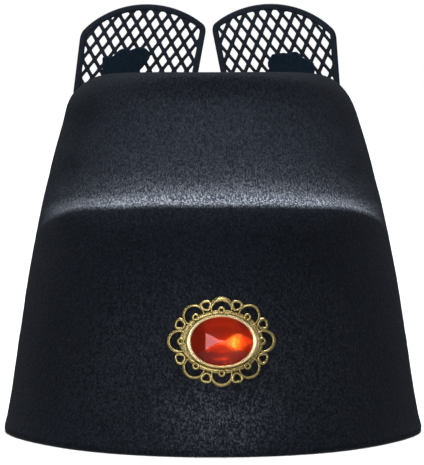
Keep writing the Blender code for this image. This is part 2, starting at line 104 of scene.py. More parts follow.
# Lattice wings: straight sides that lean, a round top, and a solid root behind the tower.
Wing = namedtuple(
    "Wing",
    "name side arc_x top_z inner_x inner_lean outer_x outer_lean "
    "row_x row_z row_step row_drift column_tilt",
)
WINGS = (
    Wing(
        "left", -1, -0.0290, 0.1905, -0.0015, -0.185, -0.0602, -0.125,
        -0.02734, 0.18561, 0.00432, -0.00056, -0.00007,
    ),
    Wing(
        "right", 1, 0.0293, 0.1907, 0.0022, 0.200, 0.0602, 0.075,
        0.02572, 0.18604, 0.00467, 0.00097, 0.00003,
    ),
)
WING_LEVEL_Z = 0.1762
WING_ARC_RADIUS = 0.0427
WING_CORNER = 0.0035
ARCH_TRIM = 3
ARCH_STEPS = 36
ARCH_ROUNDS = 8
WING_THICKNESS = 0.0020
WING_FRAME = 0.0029
WING_MIDDLE_Y = 0.0933
WING_EDGE = 0.0006
LATTICE_THICKNESS = 0.0014
LATTICE_EDGE = 0.0004
FRAME_OVERLAP = 0.0013
HALF_COLUMN = 0.00292
STRAND = 0.00165
LATTICE_ROWS = 8
LATTICE_COLUMNS = 12
LATTICE_FLOOR_Z = 0.1470
SMALLEST_GAP = 0.05
SHORTEST_SIDE = 0.0004
GAP_CORNER = 0.0006
GAP_CORNER_STEPS = 3
ROOT_SHOULDER_Z = 0.1400
ROOT_Z = 0.1180
ROOT_INNER_X = 0.0120
ROOT_OUTER_X = 0.0400
ROOT_CORNER = 0.0080
CORNER_STEPS = 6
CORNER_SHARE = 0.45
EDGE_STEPS = 2
SAME_POINT = 1e-6
PLATE_SMOOTH_TO = 40.0

# Felt tabs that stand between the tower and the wings: outlines from the inner foot, over the top.
Outline = namedtuple("Outline", "name points")
TABS = (
    Outline(
        "left",
        (
            (-0.0310, 0.1300), (-0.0340, 0.1572), (-0.0283, 0.1640), (-0.0268, 0.1670),
            (-0.0300, 0.1702), (-0.0336, 0.1704), (-0.0365, 0.1688), (-0.0388, 0.1697),
            (-0.0418, 0.1692), (-0.0449, 0.1662), (-0.0498, 0.1655), (-0.0500, 0.1540),
            (-0.0470, 0.1300),
        ),
    ),
    Outline(
        "right",
        (
            (0.0310, 0.1300), (0.0296, 0.1572), (0.0275, 0.1628), (0.0300, 0.1672),
            (0.0341, 0.1678), (0.0379, 0.1673), (0.0407, 0.1683), (0.0431, 0.1673),
            (0.0445, 0.1651), (0.0473, 0.1645), (0.0497, 0.1626), (0.0500, 0.1540),
            (0.0470, 0.1300),
        ),
    ),
)
TAB_MIDDLE_Y = 0.0912
TAB_THICKNESS = 0.0016
TAB_EDGE = 0.0006
TAB_CORNER = 0.0009
TAB_STEP = 0.0005
TAB_RAGGED = 0.00035
TAB_RAGGED_SCALE = 700.0

# Brooch, in its own plane: x to the right, y up the felt, and height off the felt.
BROOCH_X = 0.00145
BROOCH_Z = 0.0471
Scroll = namedtuple("Scroll", "x y crown")
SCROLLS = (
    Scroll(0.01686, 0.0, 0.0016),
    Scroll(0.01072, 0.01003, 0.0012),
    Scroll(0.0, 0.01298, 0.0021),
    Scroll(-0.01072, 0.01003, 0.0012),
    Scroll(-0.01686, 0.0, 0.0015),
    Scroll(-0.01072, -0.01003, 0.0013),
    Scroll(0.0, -0.01298, 0.0016),
    Scroll(0.01072, -0.01003, 0.0013),
)
SCROLL_RADIUS = 0.00500
SCROLL_REACH = 0.00078
SCROLL_WIRE = 0.00125
SCROLL_HEIGHT = 0.0012
SCROLL_SWEEP = math.radians(125)
SCROLL_STEPS = 44
EYELET_RADIUS = 0.00177
EYELET_HOLE = 0.00052
EYELET_HEIGHT = 0.0015
EYELET_STEPS = 24
Lobe = namedtuple("Lobe", "x y facing")
LOBES = (Lobe(0.00640, 0.01492, math.radians(79)), Lobe(0.01715, 0.00708, math.radians(19)))
LOBE_HOLE = 0.00120
LOBE_HOLE_CORNERS = 0.00019
LOBE_EDGE = 0.00258
LOBE_EDGE_CORNERS = 0.00006
LOBE_EDGE_WIDEN = 0.00020
LOBE_HEIGHT = 0.0012
LOBE_STEPS = 36
BAND_INNER_X = 0.01440
BAND_INNER_Y = 0.01060
BAND_OUTER_X = 0.01740
BAND_OUTER_Y = 0.01330
BAND_HEIGHT = 0.0009
RIDGE_STEPS = 8
RIDGE_FULLNESS = 0.7
Grain = namedtuple("Grain", "half_x half_y radius count")
GRAINS = (Grain(0.01572, 0.01168, 0.00040, 104), Grain(0.01655, 0.01255, 0.00036, 112))
GRAIN_SEAT = 0.000855
MILGRAIN_RADIUS = 0.00034
MILGRAIN_HEIGHT = 0.00070
MILGRAIN_SWEEP = math.radians(86)
MILGRAINS = 21
BEAD_RINGS = 4
BEAD_SIDES = 8
PLATE_FOOT = 0.0001
BEZEL_STEPS = 120
Ring = namedtuple("Ring", "half_x half_y height")
BEZEL = (
    Ring(0.01475, 0.01100, 0.00020),
    Ring(0.01495, 0.01115, 0.00060),
    Ring(0.01495, 0.01115, 0.00260),
    Ring(0.01485, 0.01110, 0.00325),
    Ring(0.01463, 0.01099, 0.00370),
    Ring(0.01439, 0.01087, 0.00385),
    Ring(0.01415, 0.01075, 0.00370),
    Ring(0.01397, 0.01065, 0.00335),
    Ring(0.01383, 0.01058, 0.00310),
    Ring(0.01363, 0.01047, 0.00315),
    Ring(0.01342, 0.01036, 0.00345),
    Ring(0.01320, 0.01024, 0.00358),
    Ring(0.01298, 0.01011, 0.00350),
    Ring(0.01282, 0.01000, 0.00320),
    Ring(0.01282, 0.01000, 0.00300),
    Ring(0.01350, 0.01040, 0.00290),
    Ring(0.01350, 0.01040, 0.00050),
)
POCKET_FLOOR = 0.00050
METAL_SMOOTH_TO = 50.0

# Rose-cut stone with a slightly domed back.
GEM_HALF_X = 0.0132
GEM_HALF_Y = 0.0102
GEM_BACK = 0.0015
GEM_DOME = 0.00057
GEM_DOME_RINGS = 5
GEM_GIRDLE = 0.00245
GEM_STAR_HEIGHT = 0.0049
GEM_TOP = 0.0062
GEM_STAR_SIDE_X = 0.0067
GEM_STAR_SIDE_Y = 0.0035
GEM_STAR_TIP_Y = 0.00525
GEM_TABLE = 0.035
GEM_SECTORS = 6
GEM_CORNERS = 4 * GEM_SECTORS

# Looks. Noises are stretched along the fibres, and spans are the stretches of a value that count.
Noise = namedtuple("Noise", "scale detail roughness stretch", defaults=(0.55, 1.0))
Spot = namedtuple("Spot", "centre reach")
Patch = namedtuple("Patch", "centre reach strength nap_low nap_high glint")
FeltTones = namedtuple("FeltTones", "dark light fleck worn glint")
Gilt = namedtuple("Gilt", "name pale deep roughness bump")
FIBRES = Noise(1400.0, 2.0, 0.60, 0.65)
MOTTLE = Noise(620.0, 2.0, 0.55, 0.70)
CLOUDS = Noise(30.0, 3.0)
FLECKS = Noise(1500.0, 1.0)
COMBED = Noise(1300.0, 2.0, 0.60, 0.30)
MATTED_SPAN = (0.40, 0.64)
MATTED_SHARE = 0.65
MOTTLED_SPAN = (0.38, 0.64)
MOTTLED_SHARE = 0.35
CLOUDINESS_SPAN = (0.30, 0.70)
LEAST_CLOUDINESS = 0.75
MOST_CLOUDINESS = 1.10
FLECK_SPAN = (0.66, 0.74)
FLECK_SHARE = 0.70
STEEP_STRANDS_SPAN = (0.42, 0.72)
LEVEL_STRANDS_SPAN = (0.47, 0.62)
LEVEL_SPAN = (0.70, 0.97)
# Painted highlight: paler strands where the felt faces up over the step, below the tower's top.
HIGHLIGHT_FACING_SPAN = (0.30, 0.95)
HIGHLIGHT_TOP_SPAN = (0.118, 0.134)
# The painted highlight on the step is dimmer towards its left end.
HIGHLIGHT_DIM_END = Spot((-0.068, -0.055, 0.098), (0.040, 0.045, 0.030))
HIGHLIGHT_DIM_END_SHARE = 0.55
CROWN_SHADE_SPAN = (0.142, 0.158)
CROWN_SHADE = 0.70
CROWN_DULLNESS = 0.40
NAP_SPAN = (0.20, 0.80)
LOW_NAP_ROUGHNESS = 0.74
HIGH_NAP_ROUGHNESS = 0.60
# Painted light: a painted highlight low on the front, a broader glow of painted light below it, and painted
# light over the tower's front.
PATCHES = (
    Patch((0.000, -0.101, 0.016), (0.030, 0.030, 0.019), 0.30, 0.36, 1.05, (0.37, 0.39, 0.44)),
    Patch((0.000, -0.100, 0.036), (0.110, 0.060, 0.050), 0.08, 0.20, 1.10, (0.37, 0.39, 0.44)),
    Patch((0.000, -0.062, 0.135), (0.105, 0.052, 0.053), 0.19, -0.15, 1.45, (0.34, 0.39, 0.51)),
)
# The highlight base and glint tones are the dull and bright ends of the painted highlight and the painted
# light patches.
CROWN_TONES = FeltTones(
    dark=(0.0014, 0.0019, 0.0034),
    light=(0.0080, 0.0106, 0.0180),
    fleck=(0.045, 0.052, 0.070),
    worn=(0.020, 0.027, 0.045),
    glint=(0.370, 0.395, 0.445),
)
TAB_TONES = FeltTones(
    dark=(0.008, 0.018, 0.030),
    light=(0.030, 0.055, 0.085),
    fleck=(0.050, 0.060, 0.080),
    worn=(0.020, 0.030, 0.045),
    glint=(0.060, 0.080, 0.110),
)
PLASTIC_GRAIN = Noise(900.0, 3.0)
PLASTIC_CLOUDS = Noise(60.0, 2.0)
PLASTIC_SPAN = (0.35, 0.65)
PLASTIC_DEEP = (0.008, 0.014, 0.027)
PLASTIC_PALE = (0.013, 0.022, 0.039)
GILT_GRAIN = Noise(1400.0, 4.0, 0.60)
GILT_HOLLOW = 0.0012
GILT_OPEN_SPAN = (0.25, 0.85)
GILT_TONE_SPAN = (0.20, 0.60)
FILIGREE_GILT = Gilt("gilt_filigree", (0.61, 0.49, 0.21), (0.15, 0.09, 0.02), 0.33, 0.25)
BEZEL_GILT = Gilt("gilt_bezel", (1.00, 0.91, 0.68), (0.95, 0.82, 0.54), 0.32, 0.03)
SOFT_SPAN = (0.30, 0.70)
STONE_CLOUDS = Noise(120.0, 2.0)
STONE_DEEP = (0.90, 0.195, 0.100)
STONE_PALE = (0.93, 0.220, 0.120)
# A painted glow: light reflected inside the stone, painted as an orange tint towards its right side.
STONE_GLOW_TONE = (0.96, 0.480, 0.120)
STONE_GLOW = Spot((0.0070, -0.101, 0.0471), (0.0044, 0.0200, 0.0050))
FLOOR_GRAIN = Noise(6.0, 2.0)
FLOOR_DEEP = (0.86, 0.86, 0.86)
FLOOR_PALE = (0.88, 0.88, 0.88)
SPOT_CORE = 0.1

# Camera and light.
CAMERA_DISTANCE = 1.400
CAMERA_HEIGHT = 0.157
CAMERA_YAW = math.radians(1.3)
CAMERA_HEADING = math.radians(1.284)
CAMERA_PITCH = math.radians(2.837)
CAMERA_LENS = 245.3
Sun = namedtuple("Sun", "azimuth elevation spread strength")
TOP_LIGHT = Sun(180.0, 82.0, 35.0, 5.0)
Fade = namedtuple("Fade", "axis start end at_start at_end")
ROOM = (Fade("Y", -1.0, 1.0, 0.10, 0.04), Fade("Z", -0.95, -0.15, 1.00, 0.00))
FLOOR_RADIUS = 30.0
FLOOR_STEPS = 96
LIGHT_AIM = 0.09
LIGHT_DISTANCE = 1.5
Softbox = namedtuple("Softbox", "name azimuth elevation width height power")
SOFTBOXES = (
    Softbox("front_light", 0.5, 10.5, 0.32, 0.28, 2.30),
    Softbox("high_light", 0.0, 66.0, 0.60, 0.26, 2.40),
    Softbox("left_light", -21.5, 6.0, 0.06, 0.16, 0.22),
    Softbox("glow_light", -9.0, 30.0, 0.35, 1.00, 0.26),
    Softbox("spark_light", -11.6, 9.0, 0.095, 0.22, 1.00),
    Softbox("edge_light", -14.9, 9.0, 0.05, 0.20, 1.50),
    Softbox("side_light", -27.0, 9.0, 0.20, 0.20, 0.11),
    Softbox("far_left_light", -55.0, 10.0, 0.25, 0.60, 2.30),
    Softbox("far_right_light", 62.0, 10.0, 0.20, 0.50, 1.20),
)


def mesh_object(bm, name, material, smooth_to=None):
    """An object with its faces turned outwards, and smooth over edges up to an angle if one is given."""
    bmesh.ops.recalc_face_normals(bm, faces=bm.faces)
    mesh = bpy.data.meshes.new(name)
    bm.to_mesh(mesh)
    bm.free()
    if smooth_to is not None:
        mesh.shade_smooth()
        mesh.set_sharp_from_angle(angle=math.radians(smooth_to))
    mesh.materials.append(material)
    thing = bpy.data.objects.new(name, mesh)
    bpy.context.scene.collection.objects.link(thing)
    return thing


def finish_piece(piece, slot, *nodes):
    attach(piece, "root")
    if nodes:
        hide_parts(*nodes)


def bridge(bm, low, high, closed=True):
    """Quads between two rows of vertices that have the same count."""
    count = len(low)
    for i in range(count if closed else count - 1):
        j = (i + 1) % count
        bm.faces.new((low[i], low[j], high[j], high[i]))


def around(items):
    """Each item with the one after it, and the last with the first."""
    return zip(items, items[1:] + items[:1])


def fan(bm, ring, centre):
    """Triangles from a ring of vertices to a point."""
    tip = bm.verts.new(centre)
    for a, b in around(ring):
        bm.faces.new((a, b, tip))


def smooth_step(value):
    value = min(max(value, 0.0), 1.0)
    return value * value * (3.0 - 2.0 * value)


def smooth_between(value, low, high):
    return smooth_step((value - low) / (high - low))


# Materials


class Shader:
    """A node material under construction: short calls add nodes and link them."""

    def __init__(self, name):
        self.material = bpy.data.materials.new(name)
        self.material.use_nodes = True
        self.tree = self.material.node_tree
        self.shader = self.tree.nodes["Principled BSDF"]
        spaces = self.add("ShaderNodeTexCoord").outputs
        self.object_place = spaces["Object"]
        self.place = self.object_place
        self.normal = spaces["Normal"]

    def add(self, kind, **values):
        node = self.tree.nodes.new(kind)
        for name, value in values.items():
            setattr(node, name, value)
        return node

    def link(self, source, target):
        self.tree.links.new(source, target)

    def set(self, **values):
        for name, value in values.items():
            self.shader.inputs[name.replace("_", " ")].default_value = value

    def noise(self, look):
        """A noise over the surface, drawn out along the fibres."""
        mapping = self.add("ShaderNodeMapping")
        mapping.inputs["Scale"].default_value = (1.0, 1.0, look.stretch)
        self.link(self.place, mapping.inputs["Vector"])
        node = self.add("ShaderNodeTexNoise")
        node.inputs["Scale"].default_value = look.scale
        node.inputs["Detail"].default_value = look.detail
        node.inputs["Roughness"].default_value = look.roughness
        self.link(mapping.outputs["Vector"], node.inputs["Vector"])
        return node.outputs["Fac"]

    def range(self, source, low, high, to_low=0.0, to_high=1.0):
        """The source's span from low to high, moved to another span and held inside it."""
        node = self.add("ShaderNodeMapRange")
        values = (("From Min", low), ("From Max", high), ("To Min", to_low), ("To Max", to_high))
        for name, value in values:
            node.inputs[name].default_value = value
        self.link(source, node.inputs["Value"])
        return node.outputs["Result"]

    def math(self, operation, a, b):
        node = self.add("ShaderNodeMath", operation=operation)
        for socket, value in zip(node.inputs, (a, b)):
            if isinstance(value, float):
                socket.default_value = value
            else:
                self.link(value, socket)
        return node.outputs["Value"]

    def times(self, a, b):
        return self.math("MULTIPLY", a, b)

    def z_of(self, vector):
        split = self.add("ShaderNodeSeparateXYZ")
        self.link(vector, split.inputs["Vector"])
        return split.outputs["Z"]

    def upward(self):
        """How far the surface faces up, from -1 to 1."""
        return self.z_of(self.normal)

    def height(self):
        return self.z_of(self.object_place)

    def blend(self, share, a, b):
        """A number between two others."""
        node = self.add("ShaderNodeMix")
        for name, source in (("Factor", share), ("A", a), ("B", b)):
            self.link(source, node.inputs[name])
        return node.outputs["Result"]

    def spot(self, centre, reach):
        """1 near a point, and 0 from its reach along each axis on."""
        mapping = self.add("ShaderNodeMapping")
        mapping.inputs["Location"].default_value = [-c / r for c, r in zip(centre, reach)]
        mapping.inputs["Scale"].default_value = [1.0 / r for r in reach]
        self.link(self.object_place, mapping.inputs["Vector"])
        away = self.add("ShaderNodeVectorMath", operation="LENGTH")
        self.link(mapping.outputs["Vector"], away.inputs["Vector"])
        return self.range(away.outputs["Value"], SPOT_CORE, 1.0, 1.0, 0.0)

    def mix(self, share, a, b):
        """A colour between two others, each from a socket or given as three numbers."""
        node = self.add("ShaderNodeMix", data_type="RGBA")
        for name, value in (("Factor", share), ("A", a), ("B", b)):
            socket = next(s for s in node.inputs if s.name == name and s.enabled)
            if isinstance(value, tuple):
                socket.default_value = (*value, 1.0)
            else:
                self.link(value, socket)
        return next(s for s in node.outputs if s.enabled)

    def toned(self, look, span, deep, pale):
        """A colour that wanders between two tones as a noise does."""
        return self.mix(self.range(self.noise(look), *span), deep, pale)

    def colour(self, source):
        self.link(source, self.shader.inputs["Base Color"])

    def roughness(self, source):
        self.link(source, self.shader.inputs["Roughness"])

    def bump(self, height, strength, distance):
        node = self.add("ShaderNodeBump")
        node.inputs["Strength"].default_value = strength
        node.inputs["Distance"].default_value = distance
        self.link(height, node.inputs["Height"])
        self.link(node.outputs["Normal"], self.shader.inputs["Normal"])


def felt_nap(felt, fibres):
    """How far the matted fibres stand up, from 0 to 1."""
    matted = felt.times(felt.range(fibres, *MATTED_SPAN), MATTED_SHARE)
    mottled = felt.times(felt.range(felt.noise(MOTTLE), *MOTTLED_SPAN), MOTTLED_SHARE)
    return felt.math("ADD", matted, mottled)


def painted_light_patches(felt, nap, ground, worn):
    """The ground with softly bounded paler patches of painted light: a painted highlight low on the front
    and painted light over the tower's front.
    """
    for patch in PATCHES:
        patch_tone = felt.mix(felt.range(nap, patch.nap_low, patch.nap_high), worn, patch.glint)
        spot = felt.times(felt.spot(patch.centre, patch.reach), patch.strength)
        ground = felt.mix(spot, ground, patch_tone)
    return ground


def step_highlight_share(felt, cloudiness):
    """How much painted highlight the felt takes: where it faces up, below the tower's top, less at the
    step's left end.
    """
    facing = felt.range(felt.upward(), *HIGHLIGHT_FACING_SPAN)
    below_top = felt.range(felt.height(), *HIGHLIGHT_TOP_SPAN, 1.0, 0.0)
    share = felt.times(facing, felt.times(cloudiness, below_top))
    # Less painted highlight towards the step's left end.
    dimmed = felt.range(felt.spot(*HIGHLIGHT_DIM_END), 0.0, 1.0, 1.0, HIGHLIGHT_DIM_END_SHARE)
    return felt.times(share, dimmed)


def felt_material(name, tones, flow=None):
    """Pressed felt: short matted fibres and pale flecks, with a painted highlight over its step, painted
    light on its front and painted shade near the tower's top.
    """
    felt = Shader(name)
    if flow:
        felt.place = felt.add("ShaderNodeAttribute", attribute_name=flow).outputs["Vector"]
    fibres = felt.noise(FIBRES)
    nap = felt_nap(felt, fibres)
    cloudiness = felt.range(felt.noise(CLOUDS), *CLOUDINESS_SPAN, LEAST_CLOUDINESS, MOST_CLOUDINESS)
    ground = felt.mix(felt.times(nap, cloudiness), tones.dark, tones.light)
    flecks = felt.range(felt.noise(FLECKS), *FLECK_SPAN, 0.0, FLECK_SHARE)
    ground = painted_light_patches(felt, nap, felt.mix(flecks, ground, tones.fleck), tones.worn)
    steep = felt.range(fibres, *STEEP_STRANDS_SPAN)
    level = felt.range(felt.noise(COMBED), *LEVEL_STRANDS_SPAN)
    strands = felt.blend(felt.range(felt.upward(), *LEVEL_SPAN), steep, level)
    # Painted highlight over the step, in strands from the highlight base to the glint tone.
    step_highlight = felt.mix(strands, tones.worn, tones.glint)
    colour = felt.mix(step_highlight_share(felt, cloudiness), ground, step_highlight)
    shade = felt.range(felt.height(), *CROWN_SHADE_SPAN, 0.0, CROWN_SHADE)
    felt.colour(felt.mix(shade, colour, tones.dark))
    roughness = felt.range(nap, *NAP_SPAN, LOW_NAP_ROUGHNESS, HIGH_NAP_ROUGHNESS)
    felt.roughness(felt.math("ADD", roughness, felt.times(shade, CROWN_DULLNESS)))
    felt.bump(nap, strength=0.5, distance=0.0004)
    felt.set(Specular_IOR_Level=0.18, Specular_Tint=(0.70, 0.82, 1.0, 1.0))
    felt.set(Sheen_Weight=0.015, Sheen_Roughness=0.45, Sheen_Tint=(0.74, 0.80, 0.95, 1.0))
    return felt.material


def plastic_material():
    """Moulded black plastic with a fine satin grain."""
    plastic = Shader("wing_plastic")
    grain = plastic.noise(PLASTIC_GRAIN)
    plastic.colour(plastic.toned(PLASTIC_CLOUDS, PLASTIC_SPAN, PLASTIC_DEEP, PLASTIC_PALE))
    plastic.roughness(plastic.range(grain, *PLASTIC_SPAN, to_low=0.42, to_high=0.60))
    plastic.bump(grain, strength=0.15, distance=0.0002)
    plastic.set(Specular_IOR_Level=0.16)
    return plastic.material


def gilt_material(look):
    """Pale yellow gilding over cast metal, deeper and duller in its recesses, which is painted shade."""
    gilt = Shader(look.name)
    # Painted shade: the colour turns to the deep tone where metal lies close by.
    hollow = gilt.add("ShaderNodeAmbientOcclusion", samples=8)
    hollow.inputs["Distance"].default_value = GILT_HOLLOW
    grain = gilt.noise(GILT_GRAIN)
    openness = gilt.range(hollow.outputs["AO"], *GILT_OPEN_SPAN)
    polish = gilt.range(grain, *GILT_TONE_SPAN, to_low=0.75, to_high=1.0)
    gilt.colour(gilt.mix(gilt.times(openness, polish), look.deep, look.pale))
    gilt.roughness(gilt.range(grain, *SOFT_SPAN, look.roughness - 0.05, look.roughness + 0.08))
    gilt.bump(grain, strength=look.bump, distance=0.0002)
    gilt.set(Metallic=1.0)
    return gilt.material


def stone_material():
    """Clear deep red, like acrylic, with a painted orange glow towards its right side for light reflected
    inside the stone.
    """
    stone = Shader("stone_glass")
    red = stone.toned(STONE_CLOUDS, SOFT_SPAN, STONE_DEEP, STONE_PALE)
    stone.colour(stone.mix(stone.spot(*STONE_GLOW), red, STONE_GLOW_TONE))
    stone.set(Roughness=0.02, IOR=1.5, Transmission_Weight=1.0, Specular_Tint=(0.50, 0.50, 0.55, 1.0))
    return stone.material


def floor_material():
    floor = Shader("studio_floor")
    floor.colour(floor.toned(FLOOR_GRAIN, SOFT_SPAN, FLOOR_DEEP, FLOOR_PALE))
    floor.set(Roughness=0.9, Specular_IOR_Level=0.1)
    return floor.material


# Felt crown


def section_at(level):
    """A section between the table's rows, on a smooth curve through them."""
    last = len(SECTIONS) - 1
    i = min(int(level), last - 1)
    t = level - i
    rows = [SECTIONS[min(max(k, 0), last)] for k in (i - 1, i, i + 1, i + 2)]
    values = []
    for a, b, c, d in zip(*rows):
        bend = (2 * a - 5 * b + 4 * c - d) * t * t + (3 * b - a - 3 * c + d) * t**3
        values.append(0.5 * (2 * b + (c - a) * t + bend))
    return Section(*values)


def section_point(section, turn):
    """A point of the crown's outer surface. Turn 0 is the front, and a quarter turn is the +X side."""
    across = math.sin(turn)
    forward = math.cos(turn)
    if forward >= 0.0:
        depth = section.middle_y - section.front_y
        taper = 1.0 - FRONT_TAPER * across**4
        rise = smooth_step(forward / STEP_REACH)
        z = section.side_z + (section.front_z - section.side_z) * rise
        return Vector((section.half_width * across, section.middle_y - depth * forward * taper, z))
    power = 2.0 / BACK_SQUARENESS
    x = section.half_width * math.copysign(abs(across) ** power, across)
    depth = section.back_y - section.middle_y
    return Vector((x, section.middle_y + depth * abs(forward) ** power, section.side_z))


def shaped_point(section, turn):
    """The surface as pressed: the step rises in the middle, and the left side stands out at its shoulder."""
    point = section_point(section, turn)
    crest = smooth_between(point.z, CREST_FROM, CREST_PEAK)
    crest *= 1.0 - smooth_between(point.z, CREST_PEAK, CREST_TO)
    point.z += CREST_LIFT * crest * smooth_between(math.cos(turn), 1.0 - CREST_WIDTH, 1.0)
    if point.x < 0.0:
        swell = LEFT_SWELL * smooth_between(point.z, LEFT_SWELL_FROM, LEFT_SWELL_TO)
        rise = smooth_between(point.z, SHOULDER_FROM, SHOULDER_PEAK)
        fall = 1.0 - smooth_between(point.z, SHOULDER_PEAK, SHOULDER_TO)
        point.x -= (swell + SHOULDER_SWELL * rise * fall) * math.sin(turn) ** 2
    return point


def crown_levels():
    """Levels between the sections, about one for each FELT_STEP along the front."""
    levels = [0.0]
    for i, (a, b) in enumerate(zip(SECTIONS, SECTIONS[1:])):
        length = math.hypot(b.front_y - a.front_y, b.front_z - a.front_z)
        steps = max(2, round(length / FELT_STEP))
        levels += [i + (k + 1) / steps for k in range(steps)]
    return levels


def grid_normal(grid, row, column):
    ring = grid[row]
    along = ring[(column + 1) % len(ring)] - ring[column - 1]
    up = grid[min(row + 1, len(grid) - 1)][column] - grid[max(row - 1, 0)][column]
    return along.cross(up).normalized()


def unevenness(point):
    """How far the felt stands proud at a point: a slow waviness and a fine lumpiness."""
    slow = noise.noise(point * UNEVEN_SCALE)
    fine = noise.noise(point * FINE_SCALE)
    return UNEVEN_DEPTH * slow + FINE_DEPTH * fine


def wall_thickness(point):
    return FELT - INNER_UNEVEN_SHARE * unevenness(point * INNER_UNEVEN_SCALE)


CROWN_ROWS = [section_at(level) for level in crown_levels()]
FRONT_HEIGHTS = [section.front_z for section in CROWN_ROWS]


def crown_surfaces():
    """The outer and the inner surface as grids of points, a list for each level from the rim up."""
    turns = [math.tau * i / FELT_COLUMNS for i in range(FELT_COLUMNS)]
    plain = [[shaped_point(section, turn) for turn in turns] for section in CROWN_ROWS]
    outer, inner = [], []
    for row, ring in enumerate(plain):
        normals = [grid_normal(plain, row, column) for column in range(FELT_COLUMNS)]
        outer.append([p + n * unevenness(p) for p, n in zip(ring, normals)])
        inner.append([p - n * wall_thickness(p) for p, n in zip(ring, normals)])
    return outer, inner


def flow_grid(rows):
    """Where each point lies round and along the felt, so that fibres run up the walls and over the step."""
    travelled = [0.0] * FELT_COLUMNS
    grid = []
    before = rows[0]
    for ring in rows:
        width = min(max(point.x for point in ring) / FLOW_SHOULDER, 1.0)
        travelled = [way + (p - q).length * width for way, p, q in zip(travelled, ring, before)]
        before = ring
        reach = FLOW_RADIUS * width
        turns = (math.tau * i / FELT_COLUMNS for i in range(FELT_COLUMNS))
        grid.append([(reach * math.sin(t), -reach * math.cos(t), way) for t, way in zip(turns, travelled)])
    return grid


def rim_rings(outer, inner):
    """The rounded rim, from the outer wall down under the felt and up to the inner wall."""
    rings = []
    for step in range(1, RIM_STEPS):
        angle = math.pi * step / RIM_STEPS
        ring = []
        for a, b in zip(outer, inner):
            middle = (a + b) / 2.0
            half = (a - b) / 2.0
            point = middle + half * math.cos(angle)
            point.z = max(RIM_RADIUS * (1.0 - math.sin(angle)), 0.0)
            ring.append(point)
        rings.append(ring)
    return rings


def make_crown(material):
    outer, inner = crown_surfaces()
    middle_y = SECTIONS[-1].middle_y
    bm = bmesh.new()
    flow = bm.verts.layers.float_vector.new("flow")
    rows = list(reversed(outer)) + rim_rings(outer[0], inner[0]) + inner[::INNER_EVERY]
    rings = [[bm.verts.new(point) for point in row] for row in rows]
    for ring, places in zip(rings, flow_grid(rows)):
        for vertex, place in zip(ring, places):
            vertex[flow] = place
    for low, high in zip(rings, rings[1:]):
        bridge(bm, low, high)
    fan(bm, rings[0], (0.0, middle_y, TOP_CENTRE_Z))
    fan(bm, rings[-1], (0.0, middle_y, TOP_CENTRE_Z - FELT))
    crown = mesh_object(bm, "felt_crown", material, FELT_SMOOTH_TO)
    finish_piece(crown, "black_felt", "crown")


# Wings and tabs


def arc_points(centre, radius, start, end, steps):
    angles = [start + (end - start) * i / steps for i in range(steps + 1)]
    return [(centre[0] + radius * math.cos(a), centre[1] + radius * math.sin(a)) for a in angles]


def rounded(corners, steps):
    """A closed outline from corners (x, y, radius). A corner that has a radius becomes a short curve."""
    outline = []
    count = len(corners)
    for i, (x, y, radius) in enumerate(corners):
        if radius == 0.0:
            outline.append((x, y))
            continue
        here = Vector((x, y))
        back = Vector(corners[i - 1][:2]) - here
        ahead = Vector(corners[(i + 1) % count][:2]) - here
        start = here + back.normalized() * min(radius, CORNER_SHARE * back.length)
        end = here + ahead.normalized() * min(radius, CORNER_SHARE * ahead.length)
        for k in range(steps + 1):
            t = k / steps
            outline.append(tuple((1 - t) ** 2 * start + 2 * t * (1 - t) * here + t * t * end))
    return outline


def side_x(at_level, lean, z):
    """The x of a wing's straight side, which leans by the same amount for each unit of height."""
    return at_level + lean * (WING_LEVEL_Z - z)


def arch_centre(wing):
    return wing.arc_x, wing.top_z - WING_ARC_RADIUS


def arch_meets(wing, at_level, lean, radius):
    """The angle at which a leaning side meets the round top, found step by step."""
    centre = arch_centre(wing)
    z = WING_LEVEL_Z
    for _ in range(ARCH_ROUNDS):
        offset = side_x(at_level, lean, z) - centre[0]
        z = centre[1] + math.sqrt(radius**2 - offset**2)
    return math.atan2(z - centre[1], offset)


def wing_outline(wing, inset):
    """The x of both sides and the points of the round top; an inset gives the frame's inner edge."""
    inner_x = wing.inner_x + wing.side * inset
    outer_x = wing.outer_x - wing.side * inset
    radius = WING_ARC_RADIUS - inset
    start = arch_meets(wing, inner_x, wing.inner_lean, radius)
    end = arch_meets(wing, outer_x, wing.outer_lean, radius)
    return inner_x, outer_x, arc_points(arch_centre(wing), radius, start, end, ARCH_STEPS)


def plate_outline(wing):
    """The wing's edge: its root, up the inner side, over the round top and down the outer side."""
    inner_x, outer_x, arch = wing_outline(wing, 0.0)
    corners = [
        (wing.side * ROOT_OUTER_X, ROOT_Z, ROOT_CORNER),
        (wing.side * ROOT_INNER_X, ROOT_Z, ROOT_CORNER),
        (side_x(inner_x, wing.inner_lean, ROOT_SHOULDER_Z), ROOT_SHOULDER_Z, ROOT_CORNER),
        (*arch[0], WING_CORNER),
        *[(x, z, 0.0) for x, z in arch[ARCH_TRIM:-ARCH_TRIM]],
        (*arch[-1], WING_CORNER),
        (side_x(outer_x, wing.outer_lean, ROOT_SHOULDER_Z), ROOT_SHOULDER_Z, ROOT_CORNER),
    ]
    return rounded(corners, CORNER_STEPS)


def window_outline(wing, inset):
    """The opening of the frame, which the lattice fills."""
    inner_x, outer_x, arch = wing_outline(wing, inset)
    floor_z = LATTICE_FLOOR_Z - (WING_FRAME - inset)
    foot = [
        (side_x(outer_x, wing.outer_lean, floor_z), floor_z),
        (side_x(inner_x, wing.inner_lean, floor_z), floor_z),
    ]
    window = [*foot, *arch]
    if area_of(window) < 0.0:
        window.reverse()
    return window


